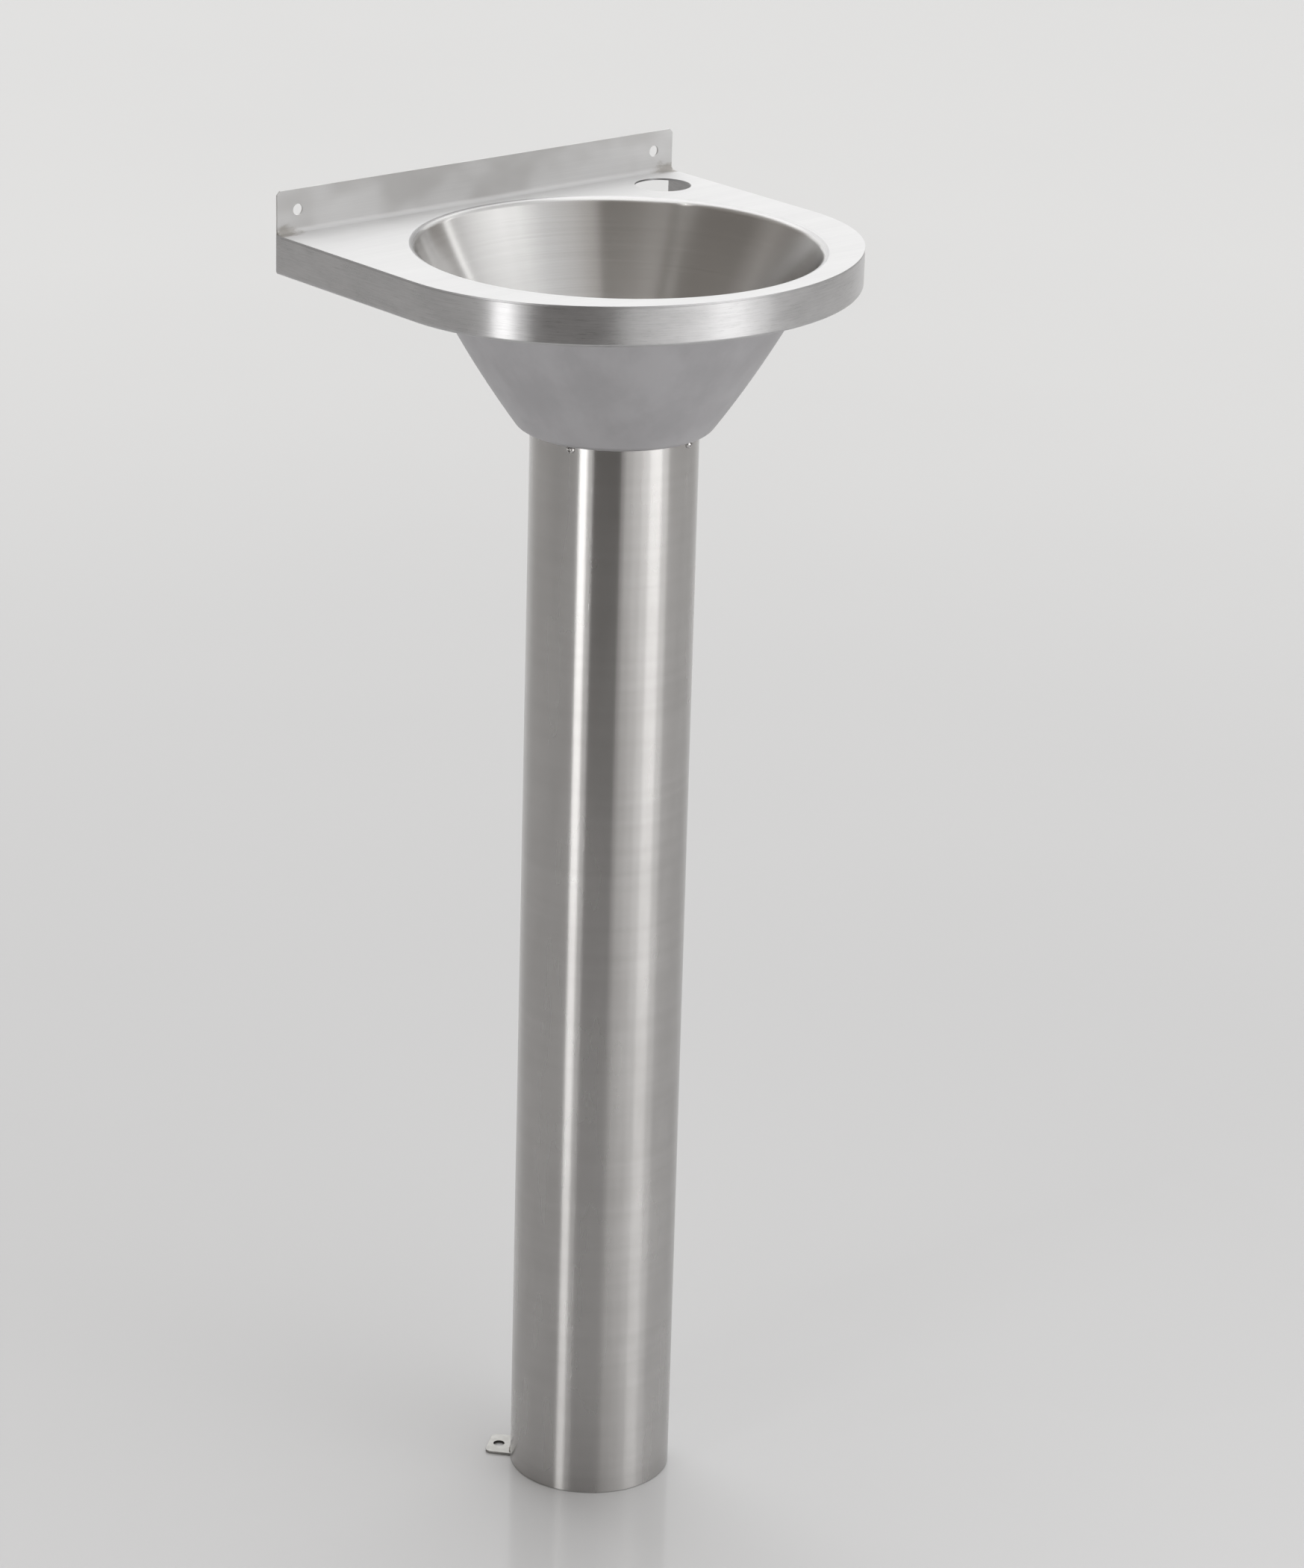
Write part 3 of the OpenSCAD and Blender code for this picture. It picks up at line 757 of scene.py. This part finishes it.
# Collar screws
screwSizes = {
    "headR": 0.0027,
    "dome": 0.0020,
    "rim": 0.0003,
    "armWide": 0.0009,
    "armLong": 0.0034,
    "armDeep": 0.0011,
    "sideSlope": 0.00012,
    "endSlope": 0.0006,
    "height": 0.68705,
    "firstTurn": 19.6,
    "twists": [24, 67, 8, 41],
    "shankR": 0.0019,
    "shankLong": 0.0078,
    "rings": 40,
    "spokes": 120,
}


def crossRecess(x, y, s):
    # 1 inside the cross, 0 outside it: the larger of two bars with steep sides and sloped ends
    def bar(u, v):
        return (np.clip((s["armWide"] / 2 - np.abs(u)) / s["sideSlope"], 0, 1)
                * np.clip((s["armLong"] / 2 - np.abs(v)) / s["endSlope"], 0, 1))
    return np.maximum(bar(x, y), bar(y, x))


def makeScrews(s):
    # Head: height over the seat = rim + part of a sphere - depth of the cross, over a disc of rings.
    # The rows go on down the rim and the seat to the shank and its tip.
    angle = np.linspace(0, 2 * np.pi, s["spokes"], endpoint=False)
    ballR = (s["headR"] ** 2 + s["dome"] ** 2) / (2 * s["dome"])
    out = np.linspace(0.02, 1, s["rings"]) * s["headR"]
    up = s["rim"] + np.sqrt(ballR ** 2 - out ** 2) - (ballR - s["dome"])
    out = np.concatenate([out, [s["headR"], s["shankR"], s["shankR"], s["shankR"] * 0.6]])
    up = np.concatenate([up, [0, 0, 0.0006 - s["shankLong"], -s["shankLong"]]])
    x, y = out[:, None] * np.cos(angle), out[:, None] * np.sin(angle)
    z = up[:, None] - s["armDeep"] * crossRecess(x, y, s) * (np.arange(len(out)) < s["rings"])[:, None]
    head = np.stack([x, y, z], -1).reshape(-1, 3)
    head = np.concatenate([head, [(0, 0, z[0].mean()), (0, 0, -s["shankLong"])]])
    rows, spokes = len(out), s["spokes"]
    here = np.arange(spokes)
    ahead = (here + 1) % spokes
    last = (rows - 1) * spokes
    faces = [list(face)[::-1] for face in gridFaces(rows, spokes, False, True)]
    faces += [[rows * spokes, i, j] for i, j in zip(here, ahead)]
    faces += [[rows * spokes + 1, last + j, last + i] for i, j in zip(here, ahead)]
    parts = []
    for number, twist in enumerate(s["twists"]):
        azimuth = math.radians(s["firstTurn"] + 360 / len(s["twists"]) * number)
        outward = np.array([math.cos(azimuth), math.sin(azimuth), 0])
        aside = np.array([-math.sin(azimuth), math.cos(azimuth), 0])
        turn = math.radians(twist)
        u = head[:, 0] * math.cos(turn) - head[:, 1] * math.sin(turn)
        v = head[:, 0] * math.sin(turn) + head[:, 1] * math.cos(turn)
        seat = outward * columnSizes["outerR"] + (0, 0, s["height"])
        points = seat + u[:, None] * aside + v[:, None] * (0, 0, 1) + head[:, 2:] * outward
        parts.append((points, faces))
    screws = pieceFrom("screw_heads", *joined(parts), None, 50)
    screws.data.materials.append(finishes["screw"])
    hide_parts("collar_screws")


makeScrews(screwSizes)
print("screws: four, with cross recesses")


# Welds
# Each bead is a thin worm along a short path: path(u) + r(u, v) * (cos v * side + sin v * up),
# where r swells and shrinks along u like frozen ripples and closes to a point at both ends.
weldSizes = {
    "tackR": 0.0005,
    "tacks": ((1, 12), (-12, -7)),  # degrees past the tab's middle
    "rows": 36,
    "columns": 20,
    "tabTurn": 39.5,
    "bendInner": 0.003,
    "bendOuter": 0.0042,
    "plugWide": 0.0012,
    "plugProud": 0.00006,
    "plugEase": 0.00015,
}


def beadFrom(path, radius, s, phase):
    u = np.linspace(0, 1, len(path))
    ahead = np.gradient(path, axis=0)
    ahead /= np.linalg.norm(ahead, axis=-1, keepdims=True)
    side = np.cross(ahead, (0.3, 0.2, 1.0))
    side /= np.linalg.norm(side, axis=-1, keepdims=True)
    up = np.cross(ahead, side)
    v = np.linspace(0, 2 * np.pi, s["columns"], endpoint=False)
    swell = np.sqrt(np.clip(1 - (2 * u - 1) ** 6, 0.003, 1)) * (0.86 + 0.1 * np.sin(u * 31 + phase))
    r = radius * swell[:, None] * (1 + 0.06 * np.sin(3 * v + u[:, None] * 17 + phase))
    around = np.cos(v)[None, :, None] * side[:, None] + np.sin(v)[None, :, None] * up[:, None]
    points = path[:, None] + r[..., None] * around
    return points.reshape(-1, 3), cappedFaces(len(path), s["columns"])


def ringPath(start, end, rows):
    # From (radius, azimuth, height) to another, turning evenly
    r, azimuth, z = (np.linspace(a, b, rows) for a, b in zip(start, end))
    azimuth = np.radians(azimuth)
    return np.stack([r * np.cos(azimuth), r * np.sin(azimuth), z], -1)


def makeTacks(s):
    wall = columnSizes["outerR"]
    parts = []
    for turn, way in ((90 + s["tabTurn"], 1), (90 - s["tabTurn"], -1)):
        for first, last in s["tacks"]:
            start = (wall + 0.0004, turn + way * first, 0.0018)
            end = (wall + 0.0003, turn + way * last, 0.0019)
            path = ringPath(start, end, s["rows"])
            parts.append(beadFrom(path, s["tackR"], s, 1.7 * len(parts)))
    tacks = pieceFrom("tab_welds", *joined(parts), None, 60)
    tacks.data.materials.append(finishes["weld"])


def makePlugs(s):
    # Ground weld metal closes both ends of the fold. Its section (back, up) from the middle of the
    # bend is the bend's inner arc and the square corner behind it, carried across the relief.
    arc = arcPoints((0, 0), s["bendInner"] - s["plugProud"], -90, 0, 16)
    back, low = s["bendOuter"] - 0.00002, -s["bendInner"] - 0.0001
    section = np.concatenate([arc, [(back, 0), (back, low), (0, low)]])
    inset = section + (np.mean(section, axis=0) - section) * 0.06
    outer = basin["halfWidth"] - 0.00002
    across = np.array([outer, outer - s["plugEase"], outer - s["plugWide"]])
    y, z = (np.stack([inset[:, way], section[:, way], section[:, way]]) for way in (0, 1))
    y = y + basin["backReach"] - s["bendOuter"]
    z = z + basin["deckHeight"] + s["bendInner"]
    faces = cappedFaces(*y.shape)
    parts = []
    for side in (-1, 1):
        points = np.stack([side * across[:, None] + 0 * y, y, z], -1).reshape(-1, 3)
        parts.append((points, [face[::side] for face in faces]))
    plugs = pieceFrom("corner_welds", *joined(parts), None, 40)
    plugs.data.materials.append(finishes["ground"])


makeTacks(weldSizes)
makePlugs(weldSizes)
print("welds: at the floor tabs and at both ends of the fold")


# Carried-over nodes
nodeFinishes = {
    "deck": "deck",
    "column_collar": "underside",
    "floor_tab_left": "tab",
    "floor_tab_right": "tab",
    "strainer": "bowl",
    "strainer_screw": "screw",
    "strainer_seal": "rubber",
    "waste_gasket": "rubber",
    "waste_cone_seal": "rubber",
    "trap_inlet_seal": "rubber",
    "trap_cap_seal": "rubber",
    "outlet_seal": "rubber",
}


def dressNode(name, piece):
    # The mesh stays as it is: two modifiers join its triangles and keep its edges crisp
    piece.data.materials.clear()
    piece.data.materials.append(finishes[nodeFinishes.get(name, "plastic")])
    piece.data.shade_smooth()
    weld = piece.modifiers.new("join", "WELD")
    weld.merge_threshold = 1e-6
    flatten = piece.modifiers.new("flatten", "DECIMATE")
    flatten.decimate_type = "DISSOLVE"
    flatten.angle_limit = math.radians(0.5)
    if name in ("deck", "floor_tab_left", "floor_tab_right"):
        soften = piece.modifiers.new("soften", "BEVEL")
        soften.width = 0.0002
        soften.segments = 2
        soften.limit_method = "ANGLE"
        soften.angle_limit = math.radians(40)
        even = piece.modifiers.new("even", "WEIGHTED_NORMAL")
        even.weight = 100
        return
    split = piece.modifiers.new("crisp", "EDGE_SPLIT")
    split.split_angle = math.radians(32)


for name, piece in nodes.items():
    if name not in ("bowl", "apron", "column", "collar_screws"):
        dressNode(name, piece)
print("nodes: dressed")


# Studio
# The room is painted in the world as rings of light, each a list of (azimuth in degrees,
# brightness), below a plain ceiling.
studioRoom = {
    "low": [(0, 0.3), (6, 0.33), (16, 0.7), (30, 1.25), (74, 1.4), (90, 0.8), (105, 0.35),
            (125, 0.24), (150, 0.15), (240, 0.15), (262, 0.35), (300, 0.65), (322, 0.42),
            (340, 0.3), (360, 0.3)],
    "high": [(0, 0.8), (10, 1.2), (20, 1.7), (84, 1.7), (95, 0.5), (108, 0.32), (125, 0.48),
             (145, 0.22), (196, 0.24), (202, 0.46), (213, 0.46), (219, 0.26), (242, 0.24),
             (246, 0.58), (252, 0.64), (260, 0.8), (280, 1.05), (297, 1.85), (311, 2.15),
             (326, 1.7), (345, 1.25), (353, 1.2), (357, 0.85), (360, 0.8)],
    "top": [(0, 1.5), (15, 2.5), (88, 2.5), (104, 0.6), (125, 0.44), (150, 0.34), (168, 0.29),
            (195, 0.31), (200, 0.52), (205, 0.5), (216, 0.4), (232, 0.34), (242, 0.3),
            (246, 0.58), (252, 0.64), (260, 0.8), (280, 1.0), (300, 1.15), (318, 1.0),
            (345, 1.0), (355, 1.2), (360, 1.5)],
    "ceiling": 2.2,
    "level": 0.85,
    "warmth": 0.11,
    "brightest": 4.0,
}
# Upright cards stand round the basin: the middle and the width of each as azimuths, its lower
# and upper edge, and how bright its face is
cardDistance = 2.6
studioCards = {
    "side strip": {"azimuth": 189.5, "width": 11, "from": 0, "to": 1.2, "glow": 4.2},
    "strip edge": {"azimuth": 199, "width": 7, "from": 0, "to": 1.2, "glow": 0.8},
    "front shade": {"azimuth": 251, "width": 11, "from": 0, "to": 1.7, "glow": 0.45},
    "front card": {"azimuth": 262.5, "width": 12, "from": 0, "to": 1.7, "glow": 0.7},
    "front wing": {"azimuth": 274, "width": 11, "from": 0, "to": 1.7, "glow": 1.1},
    "front box": {"azimuth": 288.5, "width": 18, "from": 0, "to": 1.7, "glow": 2.0},
    "right wing": {"azimuth": 303, "width": 11, "from": 0, "to": 1.7, "glow": 0.8},
    "window": {"azimuth": 351, "width": 5, "from": 1.15, "to": 2.1, "glow": 1.15},
    "spot": {"azimuth": 172, "width": 2, "from": 5.2, "to": 5.35, "glow": 130},
}
darkFlag = {
    "azimuth": 221.5,
    "width": 37,
    "distance": 2.2,
    "tall": 1.9,
    "mat": 1.4,
    "lift": 0.001,
    "colour": (0.045, 0.036, 0.03),
}
studioFloor = {
    # near is the floor's painted shade round the basin, far its painted light farther off
    "near": (0.535, 0.535, 0.538),
    "far": (0.65, 0.65, 0.647),
    "gloss": 0.65,
    "reach": 60,
    "sunk": 0.0002,
}


def besideBasin(azimuth, distance, height):
    turn = math.radians(azimuth)
    return Vector((distance * math.cos(turn), distance * math.sin(turn), height))


def makeCards(cards):
    for name, s in cards.items():
        wide = 2 * cardDistance * math.tan(math.radians(s["width"] / 2))
        tall = s["to"] - s["from"]
        data = bpy.data.lights.new(name, "AREA")
        data.shape = "RECTANGLE"
        data.size, data.size_y = wide, tall
        data.energy = 4 * wide * tall * s["glow"] * studioRoom["level"]
        lamp = bpy.data.objects.new(name, data)
        lamp.location = besideBasin(s["azimuth"], cardDistance, s["from"] + tall / 2)
        lamp.rotation_euler = besideBasin(s["azimuth"], -1, 0).to_track_quat("-Z", "Y").to_euler()
        lamp.visible_camera = False
        bpy.context.scene.collection.objects.link(lamp)


def makeFlag(s):
    # A dark board outside the picture with a mat before it, which give the steel its dark bands
    half = s["width"] / 2
    turns = np.linspace(-half, half, 9)
    rows = ((s["mat"], s["lift"]), (s["distance"], s["lift"]), (s["distance"], s["tall"]))
    points = [tuple(besideBasin(s["azimuth"] + turn, reach, height))
              for reach, height in rows for turn in turns]
    mesh = bpy.data.meshes.new("dark_flag")
    mesh.from_pydata(points, [], [list(face) for face in gridFaces(len(rows), len(turns))])
    flag = bpy.data.objects.new("dark_flag", mesh)
    bpy.context.scene.collection.objects.link(flag)
    material = bpy.data.materials.new("dark_cloth")
    board = Board(material)
    cloth = board.add("ShaderNodeBsdfDiffuse", {}, {"Color": s["colour"]})
    board.add("ShaderNodeOutputMaterial", {}, {"Surface": cloth})
    flag.data.materials.append(material)
    flag.visible_camera = False
    flag.visible_shadow = False
    flag.visible_diffuse = False


def makeWorld(room):
    world = bpy.data.worlds.new("studio")
    bpy.context.scene.world = world
    board = Board(world)
    way = board.split(board.add("ShaderNodeTexCoord").out("Generated"))
    turn = board.add("ShaderNodeMath", {"operation": "ARCTAN2"}, {0: way.out("Y"), 1: way.out("X")})
    turn = board.add("ShaderNodeMath", {"operation": "FRACT"}, {0: turn * (0.5 / math.pi) + 1})
    brightest = room["brightest"]
    rings = []
    for ring in (room["low"], room["high"], room["top"]):
        warm = [room["warmth"] * max(0, 1 - glow) for azimuth, glow in ring]
        stops = [(azimuth / 360, tuple(glow / brightest * part for part in (1 + tint, 1, 1 - tint)))
                 for (azimuth, glow), tint in zip(ring, warm)]
        rings.append(board.add("ShaderNodeValToRGB", {"stops": stops}, {"Fac": turn}).out("Color"))
    ceiling = (room["ceiling"] / brightest,) * 3
    height = way.out("Z")
    colour = board.mix(height.spread(0.16, 0.34), rings[0], rings[1])
    colour = board.mix(height.spread(0.40, 0.62), colour, rings[2])
    colour = board.mix(height.spread(0.88, 0.99), colour, ceiling)
    glow = board.add("ShaderNodeBackground", {}, {"Color": colour, "Strength": brightest * room["level"]})
    board.add("ShaderNodeOutputWorld", {}, {"Surface": glow})


def makeFloor(s):
    half = s["reach"] / 2
    corners = ((-half, -half), (half, -half), (half, half), (-half, half))
    points = [(x, y, -s["sunk"]) for x, y in corners]
    mesh = bpy.data.meshes.new("floor")
    mesh.from_pydata(points, [], [(0, 1, 2, 3)])
    floor = bpy.data.objects.new("floor", mesh)
    bpy.context.scene.collection.objects.link(floor)
    material = bpy.data.materials.new("pale_floor")
    board = Board(material)
    place = board.place()
    cloud = board.noise(place, 1.1, 3, 0.5)
    # Painted light and shade: the floor's colour is darker near the basin and lighter farther off, with
    # random clouds over it
    tone = board.length(place).spread(0.6, 3.5) + (cloud - 0.5) * 0.3
    paint = board.add("ShaderNodeBsdfDiffuse", {}, {"Color": board.mix(tone, s["near"], s["far"])})
    gloss = board.add("ShaderNodeBsdfAnisotropic", {}, {"Color": (0.9, 0.9, 0.9), "Roughness": 0.12})
    glance = board.add("ShaderNodeFresnel", {}, {"IOR": 1.45})
    both = board.add("ShaderNodeMixShader", {}, {0: glance * s["gloss"], 1: paint, 2: gloss})
    board.add("ShaderNodeOutputMaterial", {}, {"Surface": both})
    floor.data.materials.append(material)


makeCards(studioCards)
makeFlag(darkFlag)
makeWorld(studioRoom)
makeFloor(studioFloor)
print("studio: the room, %d cards, a flag and the floor" % len(studioCards))
